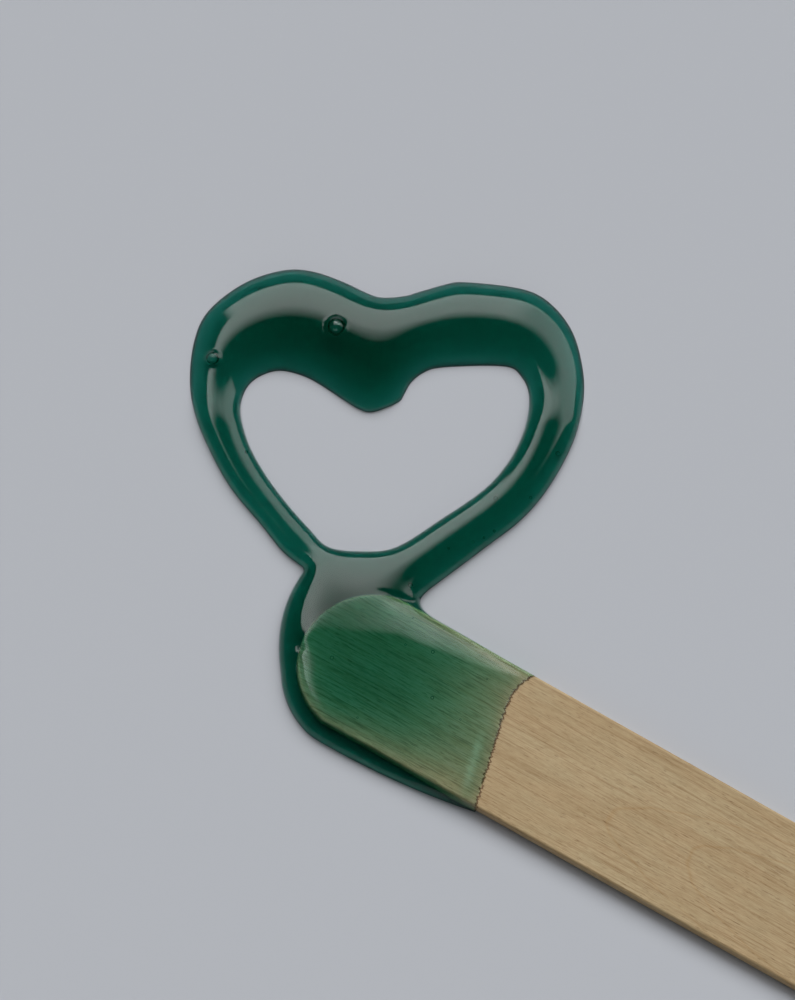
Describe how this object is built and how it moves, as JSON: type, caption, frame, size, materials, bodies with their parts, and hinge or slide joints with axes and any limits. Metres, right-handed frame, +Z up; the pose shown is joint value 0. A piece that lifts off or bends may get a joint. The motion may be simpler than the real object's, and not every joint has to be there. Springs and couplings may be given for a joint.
{
  "type": "wooden waxing spatula with a wax heart",
  "caption": "Wooden waxing spatula lying flat, its round tip coated in translucent green wax that runs on into a thick heart drawn on the table.",
  "frame": {"origin": "on the resting surface, under the centre of the arc that rounds the blade's waxed tip", "axes": "+X along the spatula from the waxed tip to the bare end, +Y across it towards the heart, +Z up from the resting surface"},
  "size_m": [0.1818, 0.0627, 0.003],
  "materials": {
    "birch": "bare sanded birch veneer with fine straight grain",
    "green_wax": "glossy translucent emerald wax with small trapped bubbles"
  },
  "bodies": {
    "root": {"spatula": "birch", "wax_coat": "green_wax", "wax_heart": "green_wax"}
  },
  "joints": []
}
